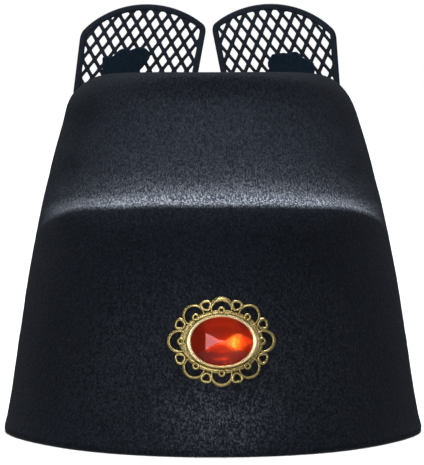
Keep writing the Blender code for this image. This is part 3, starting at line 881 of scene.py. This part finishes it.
def clip(polygon, start, end):
    """The part of a convex polygon on the left of the line from start to end."""
    kept = []
    line = Vector(end) - Vector(start)
    sides = [line.cross(Vector(point) - Vector(start)) for point in polygon]
    for i, point in enumerate(polygon):
        j = (i + 1) % len(polygon)
        if sides[i] >= 0.0:
            kept.append(point)
        if (sides[i] >= 0.0) != (sides[j] >= 0.0):
            share = sides[i] / (sides[i] - sides[j])
            kept.append(tuple(Vector(point).lerp(Vector(polygon[j]), share)))
    return kept


def area_of(polygon):
    return 0.5 * sum(a[0] * b[1] - b[0] * a[1] for a, b in around(polygon))


def without_short_sides(polygon):
    """The polygon with points left out that lie very close to the one before them."""
    kept = [polygon[0]]
    for point in polygon[1:]:
        if (Vector(point) - Vector(kept[-1])).length > SHORTEST_SIDE:
            kept.append(point)
    if (Vector(kept[0]) - Vector(kept[-1])).length < SHORTEST_SIDE:
        kept.pop()
    return kept


def lattice_gaps(wing):
    """Diamond gaps of the lattice, clipped to the inner edge of the frame, with rounded corners."""
    window = window_outline(wing, WING_FRAME)
    column_step = Vector((HALF_COLUMN, wing.column_tilt))
    row_step = Vector((wing.row_drift, -wing.row_step))
    slant = math.hypot(HALF_COLUMN, wing.row_step)
    open_share = 1.0 - 0.5 * STRAND * slant / (HALF_COLUMN * wing.row_step)
    across = column_step * open_share
    down = row_step * open_share
    full_area = 2.0 * abs(across.cross(down))
    gaps = []
    for row in range(-1, LATTICE_ROWS):
        for column in range(-LATTICE_COLUMNS, LATTICE_COLUMNS + 1):
            if (row + column) % 2:
                continue
            middle = Vector((wing.row_x, wing.row_z)) + column * column_step + row * row_step
            gap = [middle + across, middle - down, middle - across, middle + down]
            for start, end in around(window):
                gap = clip(gap, start, end) if gap else gap
            if len(gap) > 2 and area_of(gap) > SMALLEST_GAP * full_area:
                gap = without_short_sides([tuple(point) for point in gap])
                gaps.append(rounded([(x, z, GAP_CORNER) for x, z in gap], GAP_CORNER_STEPS))
    return gaps


def plate_shape(name, outlines, thickness, edge):
    """An upright plate with rounded edges, from closed outlines in X and Z: its edge, then its holes."""
    curve = bpy.data.curves.new(name, "CURVE")
    curve.dimensions = "2D"
    curve.fill_mode = "BOTH"
    curve.extrude = thickness / 2.0 - edge
    curve.bevel_depth = edge
    curve.bevel_resolution = EDGE_STEPS
    curve.offset = -edge
    for outline in outlines:
        spline = curve.splines.new("POLY")
        spline.points.add(len(outline) - 1)
        for point, (x, z) in zip(spline.points, outline):
            point.co = (x, z, 0.0, 1.0)
        spline.use_cyclic_u = True
    guide = bpy.data.objects.new(name, curve)
    bpy.context.scene.collection.objects.link(guide)
    graph = bpy.context.evaluated_depsgraph_get()
    mesh = bpy.data.meshes.new_from_object(guide.evaluated_get(graph))
    bpy.data.objects.remove(guide, do_unlink=True)
    bpy.data.curves.remove(curve)
    bm = bmesh.new()
    bm.from_mesh(mesh)
    bpy.data.meshes.remove(mesh)
    bmesh.ops.remove_doubles(bm, verts=bm.verts, dist=SAME_POINT)
    upright = Matrix.Rotation(math.radians(90), 3, "X")
    bmesh.ops.rotate(bm, verts=bm.verts, cent=(0, 0, 0), matrix=upright)
    return bm


def upright_plate(name, outlines, thickness, edge, middle_y, material):
    bm = plate_shape(name, outlines, thickness, edge)
    bmesh.ops.translate(bm, verts=bm.verts, vec=(0.0, middle_y, 0.0))
    thing = mesh_object(bm, name, material, PLATE_SMOOTH_TO)
    weights = thing.modifiers.new("flat_faces_stay_flat", "WEIGHTED_NORMAL")
    weights.keep_sharp = True
    return thing


def make_wing(wing, material):
    window = window_outline(wing, WING_FRAME)
    border = window_outline(wing, WING_FRAME - FRAME_OVERLAP)
    rim = upright_plate(
        "wing_frame_" + wing.name,
        [plate_outline(wing), window],
        WING_THICKNESS,
        WING_EDGE,
        WING_MIDDLE_Y,
        material,
    )
    lattice = upright_plate(
        "wing_lattice_" + wing.name,
        [border, *lattice_gaps(wing)],
        LATTICE_THICKNESS,
        LATTICE_EDGE,
        WING_MIDDLE_Y,
        material,
    )
    finish_piece(rim, "black_plastic", "wing_" + wing.name)
    finish_piece(lattice, "black_plastic")


def ragged(outline):
    """The outline at short steps, with each point pushed a little in or out, as torn felt is."""
    points = []
    for a, b in around([Vector(point) for point in outline]):
        steps = max(1, round((b - a).length / TAB_STEP))
        normal = Vector((b.y - a.y, a.x - b.x)).normalized()
        for k in range(steps):
            point = a.lerp(b, k / steps)
            push = noise.noise(Vector((point.x, 0.0, point.y)) * TAB_RAGGED_SCALE)
            points.append(tuple(point + normal * push * TAB_RAGGED))
    return points


def make_tab(tab, material):
    outline = rounded([(x, z, TAB_CORNER) for x, z in tab.points], CORNER_STEPS)
    piece = upright_plate(
        "felt_tab_" + tab.name, [ragged(outline)], TAB_THICKNESS, TAB_EDGE, TAB_MIDDLE_Y, material
    )
    finish_piece(piece, "black_felt", "wing_tab_" + tab.name)


# Brooch


def front_wall(x, z):
    """The y of the crown's front wall."""
    i = bisect_left(FRONT_HEIGHTS, z)
    low, high = CROWN_ROWS[i - 1], CROWN_ROWS[i]
    share = (z - low.front_z) / (high.front_z - low.front_z)
    section = Section(*(a + (b - a) * share for a, b in zip(low, high)))
    across = x / section.half_width
    depth = section.middle_y - section.front_y
    return section.middle_y - depth * math.sqrt(1.0 - across**2) * (1.0 - FRONT_TAPER * across**4)


def brooch_frame():
    """The brooch's middle on the felt, its upward direction along the wall and its outward direction."""
    middle = Vector((BROOCH_X, front_wall(BROOCH_X, BROOCH_Z), BROOCH_Z))
    above = front_wall(BROOCH_X, BROOCH_Z + BAND_OUTER_Y)
    below = front_wall(BROOCH_X, BROOCH_Z - BAND_OUTER_Y)
    up = Vector((0.0, above - below, 2.0 * BAND_OUTER_Y)).normalized()
    return middle, up, Vector((0.0, -up.z, up.y))


MIDDLE, UP, OUTWARD = brooch_frame()


def flat_point(x, y, height):
    """A point of the brooch's flat parts, over the plane that touches the felt at its middle."""
    return MIDDLE + Vector((x, 0.0, 0.0)) + y * UP + height * OUTWARD


def felt_point(x, y, height):
    """A point of the brooch's plate, which follows the curve of the felt."""
    z = MIDDLE.z + y * UP.z
    return Vector((MIDDLE.x + x, front_wall(MIDDLE.x + x, z), z)) + height * OUTWARD


def ridge_rows(inner, outer, height):
    """Rows of points (x, y, height) across a domed strip, from its inner edge over its crest."""
    rows = []
    for step in range(RIDGE_STEPS + 1):
        angle = math.pi * step / RIDGE_STEPS
        share = 0.5 - 0.5 * math.cos(angle)
        lift = PLATE_FOOT + height * math.sin(angle) ** RIDGE_FULLNESS
        rows.append([(*a.lerp(b, share), lift) for a, b in zip(inner, outer)])
    return rows


def add_ridge(bm, inner, outer, height, closed):
    """A strip of rounded metal between two lines in the brooch's plane."""
    rows = ridge_rows(inner, outer, height)
    lines = [[bm.verts.new(point) for point in row] for row in rows]
    for low, high in around(lines):
        bridge(bm, low, high, closed)
    if not closed:
        bm.faces.new([line[0] for line in lines])
        bm.faces.new([line[-1] for line in reversed(lines)])


def add_bead(bm, x, y, height, radius):
    bead = bmesh.ops.create_uvsphere(bm, u_segments=BEAD_SIDES, v_segments=BEAD_RINGS, radius=radius)
    bmesh.ops.translate(bm, verts=bead["verts"], vec=(x, y, height))


def spread(middle, reach, steps):
    """Evenly spaced angles on both sides of a middle one."""
    return [middle + reach * (2.0 * i / steps - 1.0) for i in range(steps + 1)]


def circle_at(centre, radius, angles):
    return [Vector(centre) + radius * Vector((math.cos(a), math.sin(a))) for a in angles]


def ellipse_at(half_x, half_y, steps):
    turns = [math.tau * i / steps for i in range(steps)]
    return [Vector((half_x * math.cos(turn), half_y * math.sin(turn))) for turn in turns]


def add_scroll(bm, scroll):
    """A wire round an eyelet, thickest at its crown, with a beaded outer edge."""
    eyelet = Vector((scroll.x, scroll.y))
    facing = math.atan2(scroll.y, scroll.x)
    centre = eyelet + SCROLL_REACH * eyelet.normalized()
    inner_centre = centre - (scroll.crown - SCROLL_WIRE) * eyelet.normalized()
    edge_radius = SCROLL_RADIUS - MILGRAIN_RADIUS
    angles = spread(facing, SCROLL_SWEEP, SCROLL_STEPS)
    inner = circle_at(inner_centre, SCROLL_RADIUS - SCROLL_WIRE, angles)
    outer = circle_at(centre, edge_radius, angles)
    add_ridge(bm, inner, outer, SCROLL_HEIGHT, closed=False)
    for point in circle_at(centre, edge_radius, spread(facing, MILGRAIN_SWEEP, MILGRAINS - 1)):
        add_bead(bm, point.x, point.y, MILGRAIN_HEIGHT, MILGRAIN_RADIUS)


def add_eyelet(bm, scroll):
    angles = [math.tau * i / EYELET_STEPS for i in range(EYELET_STEPS)]
    inner = circle_at((scroll.x, scroll.y), EYELET_HOLE, angles)
    outer = circle_at((scroll.x, scroll.y), EYELET_RADIUS, angles)
    add_ridge(bm, inner, outer, EYELET_HEIGHT, closed=True)


def lobe_outline(lobe, size, corners, widen=0.0):
    """A rounded triangle with one corner towards the stone, widened along the rim."""
    outline = []
    for i in range(LOBE_STEPS):
        turn = math.tau * i / LOBE_STEPS
        away = turn - lobe.facing
        radius = size - corners * math.cos(3.0 * away) - widen * math.cos(2.0 * away)
        outline.append(Vector((lobe.x + radius * math.cos(turn), lobe.y + radius * math.sin(turn))))
    return outline


def mirrored(lobe, side_x, side_y):
    """The lobe on one of the four quarters of the plate."""
    facing = math.atan2(side_y * math.sin(lobe.facing), side_x * math.cos(lobe.facing))
    return Lobe(side_x * lobe.x, side_y * lobe.y, facing)


def add_lobe(bm, lobe):
    inner = lobe_outline(lobe, LOBE_HOLE, LOBE_HOLE_CORNERS)
    outer = lobe_outline(lobe, LOBE_EDGE, LOBE_EDGE_CORNERS, LOBE_EDGE_WIDEN)
    add_ridge(bm, inner, outer, LOBE_HEIGHT, closed=True)


def make_filigree(material):
    """The pierced surround: a grained band, eyelets in beaded scrolls, and pierced lobes between them."""
    bm = bmesh.new()
    band_inner = ellipse_at(BAND_INNER_X, BAND_INNER_Y, BEZEL_STEPS)
    band_outer = ellipse_at(BAND_OUTER_X, BAND_OUTER_Y, BEZEL_STEPS)
    add_ridge(bm, band_inner, band_outer, BAND_HEIGHT, closed=True)
    for lobe in LOBES:
        for side_x in (-1, 1):
            for side_y in (-1, 1):
                add_lobe(bm, mirrored(lobe, side_x, side_y))
    for scroll in SCROLLS:
        add_scroll(bm, scroll)
        add_eyelet(bm, scroll)
    for grain in GRAINS:
        for point in ellipse_at(grain.half_x, grain.half_y, grain.count):
            add_bead(bm, point.x, point.y, GRAIN_SEAT, grain.radius)
    for vertex in bm.verts:
        vertex.co = felt_point(*vertex.co)
    filigree = mesh_object(bm, "brooch_filigree", material, METAL_SMOOTH_TO)
    finish_piece(filigree, "gilt_metal", "brooch_setting")


def make_bezel(material):
    """The polished oval cup, with a round crest and a bevel that slopes in to the stone."""
    bm = bmesh.new()
    rings = []
    for ring in BEZEL:
        points = ellipse_at(ring.half_x, ring.half_y, BEZEL_STEPS)
        rings.append([bm.verts.new(flat_point(p.x, p.y, ring.height)) for p in points])
    for low, high in zip(rings, rings[1:]):
        bridge(bm, low, high)
    fan(bm, rings[0], flat_point(0.0, 0.0, BEZEL[0].height))
    fan(bm, rings[-1], flat_point(0.0, 0.0, POCKET_FLOOR))
    bezel = mesh_object(bm, "brooch_bezel", material, METAL_SMOOTH_TO)
    finish_piece(bezel, "gilt_metal")


def gem_turn(corner):
    """The direction of a corner of the girdle, counted from the top."""
    return math.pi / 2.0 + math.tau * corner / GEM_CORNERS


def gem_outline_point(turn, share=1.0):
    return share * GEM_HALF_X * math.cos(turn), share * GEM_HALF_Y * math.sin(turn)


def star_point(turn):
    """A corner of the six-sided star: a tip at the top and bottom, and two corners at each side."""
    across = math.cos(turn)
    up = math.sin(turn)
    if abs(up) > abs(across):
        return 0.0, math.copysign(GEM_STAR_TIP_Y, up)
    return math.copysign(GEM_STAR_SIDE_X, across), math.copysign(GEM_STAR_SIDE_Y, up)


def facet_height(x, y, facet):
    """The height above (x, y) of the plane through three points of a facet."""
    a, b, c = facet
    normal = (b - a).cross(c - a)
    return a.z - (normal.x * (x - a.x) + normal.y * (y - a.y)) / normal.z


def girdle_height(corner, tips):
    """The height of a corner of the girdle. An odd one lies on the facet over its two neighbours."""
    if corner % 2 == 0:
        return GEM_GIRDLE
    sector, part = divmod(corner, 4)
    tip = tips[sector] if part == 1 else tips[(sector + 1) % GEM_SECTORS]
    low = Vector((*gem_outline_point(gem_turn(corner - 1)), GEM_GIRDLE))
    high = Vector((*gem_outline_point(gem_turn(corner + 1)), GEM_GIRDLE))
    return facet_height(*gem_outline_point(gem_turn(corner)), (tip, low, high))


def domed_back(bm, edge):
    """The faces of the back, a shallow dome inside the ring of vertices at its edge."""
    first = len(bm.faces)
    rings = [edge]
    for k in range(1, GEM_DOME_RINGS):
        share = 1.0 - k / GEM_DOME_RINGS
        height = GEM_BACK - GEM_DOME * (1.0 - share**2)
        points = [gem_outline_point(gem_turn(i), share) for i in range(GEM_CORNERS)]
        rings.append([bm.verts.new(flat_point(x, y, height)) for x, y in points])
    for outer, inner in zip(rings, rings[1:]):
        bridge(bm, inner, outer)
    fan(bm, rings[-1], flat_point(0.0, 0.0, GEM_BACK - GEM_DOME))
    bm.faces.ensure_lookup_table()
    return bm.faces[first:]


def make_gem(material):
    """Sector by sector: a star facet, then three outer facets down to the girdle."""
    bm = bmesh.new()

    def corner(x, y, height):
        return bm.verts.new(flat_point(x, y, height))

    turns = [gem_turn(4 * i) for i in range(GEM_SECTORS)]
    tips = [Vector((*star_point(turn), GEM_STAR_HEIGHT)) for turn in turns]
    table = [corner(*gem_outline_point(turn, GEM_TABLE), GEM_TOP) for turn in turns]
    star = [corner(*tip) for tip in tips]
    girdle, back = [], []
    for i in range(GEM_CORNERS):
        x, y = gem_outline_point(gem_turn(i))
        girdle.append(corner(x, y, girdle_height(i, tips)))
        back.append(corner(x, y, GEM_BACK))
    bm.faces.new(table)
    for i in range(GEM_SECTORS):
        j = (i + 1) % GEM_SECTORS
        at = [girdle[(4 * i + k) % GEM_CORNERS] for k in range(5)]
        bm.faces.new((table[i], star[i], star[j], table[j]))
        bm.faces.new((star[i], at[0], at[1], at[2]))
        bm.faces.new((star[i], at[2], star[j]))
        bm.faces.new((star[j], at[2], at[3], at[4]))
    bridge(bm, back, girdle)
    for i, vertex in enumerate(back):
        bm.edges.get((vertex, back[i - 1])).smooth = False
    for face in domed_back(bm, back):
        face.smooth = True
    gem = mesh_object(bm, "red_stone", material)
    finish_piece(gem, "red_stone", "gem")


# Studio


def make_floor(material):
    bm = bmesh.new()
    bmesh.ops.create_circle(bm, cap_ends=True, radius=FLOOR_RADIUS, segments=FLOOR_STEPS)
    floor = mesh_object(bm, "studio_floor", material)
    floor.visible_diffuse = False
    floor.visible_glossy = False
    floor.visible_transmission = False


def add_light(name, kind, power, azimuth, elevation):
    """A light that faces the cap. Azimuth 0 is over the camera, and a positive one is to the right."""
    lamp = bpy.data.lights.new(name, kind)
    lamp.energy = power
    thing = bpy.data.objects.new(name, lamp)
    bpy.context.scene.collection.objects.link(thing)
    turn, rise = math.radians(azimuth), math.radians(elevation)
    level = math.cos(rise)
    direction = Vector((math.sin(turn) * level, -math.cos(turn) * level, math.sin(rise)))
    thing.location = Vector((0.0, 0.0, LIGHT_AIM)) + direction * LIGHT_DISTANCE
    thing.rotation_mode = "QUATERNION"
    thing.rotation_quaternion = direction.to_track_quat("Z", "Y")
    return lamp


def make_lights():
    sun = add_light("top_light", "SUN", TOP_LIGHT.strength, TOP_LIGHT.azimuth, TOP_LIGHT.elevation)
    sun.angle = math.radians(TOP_LIGHT.spread)
    for box in SOFTBOXES:
        lamp = add_light(box.name, "AREA", box.power, box.azimuth, box.elevation)
        lamp.shape = "RECTANGLE"
        lamp.size = box.width
        lamp.size_y = box.height


def make_world():
    """White to the eye, while the light it gives is that of a dim room with a pale table."""
    world = bpy.data.worlds.new("studio")
    world.use_nodes = True
    tree = world.node_tree
    background = tree.nodes["Background"].inputs
    background["Color"].default_value = (1.0, 1.0, 1.0, 1.0)
    place = tree.nodes.new("ShaderNodeTexCoord")
    split = tree.nodes.new("ShaderNodeSeparateXYZ")
    tree.links.new(place.outputs["Generated"], split.inputs["Vector"])
    total = tree.nodes.new("ShaderNodeMath")
    for socket, fade in zip(total.inputs, ROOM):
        room = tree.nodes.new("ShaderNodeMapRange")
        for name, value in zip(("From Min", "From Max", "To Min", "To Max"), fade[1:]):
            room.inputs[name].default_value = value
        tree.links.new(split.outputs[fade.axis], room.inputs["Value"])
        tree.links.new(room.outputs["Result"], socket)
    seen = tree.nodes.new("ShaderNodeLightPath")
    strength = tree.nodes.new("ShaderNodeMix")
    strength.inputs["B"].default_value = 1.0
    tree.links.new(seen.outputs["Is Camera Ray"], strength.inputs["Factor"])
    tree.links.new(total.outputs["Value"], strength.inputs["A"])
    tree.links.new(strength.outputs["Result"], background["Strength"])
    bpy.context.scene.world = world


def make_camera():
    camera = bpy.data.objects.new("camera", bpy.data.cameras.new("camera"))
    bpy.context.scene.collection.objects.link(camera)
    camera.data.lens = CAMERA_LENS
    camera.location = (
        -CAMERA_DISTANCE * math.sin(CAMERA_YAW),
        -CAMERA_DISTANCE * math.cos(CAMERA_YAW),
        CAMERA_HEIGHT,
    )
    camera.rotation_euler = (math.radians(90.0) - CAMERA_PITCH, 0.0, -CAMERA_HEADING)
    bpy.context.scene.camera = camera


def main():
    felt = felt_material("crown_felt", CROWN_TONES, "flow")
    tab_felt = felt_material("tab_felt", TAB_TONES)
    plastic = plastic_material()
    make_crown(felt)
    for wing in WINGS:
        make_wing(wing, plastic)
    for tab in TABS:
        make_tab(tab, tab_felt)
    make_filigree(gilt_material(FILIGREE_GILT))
    make_bezel(gilt_material(BEZEL_GILT))
    make_gem(stone_material())
    make_floor(floor_material())
    make_world()
    make_lights()
    make_camera()
    bpy.context.scene.view_settings.view_transform = "Standard"


main()
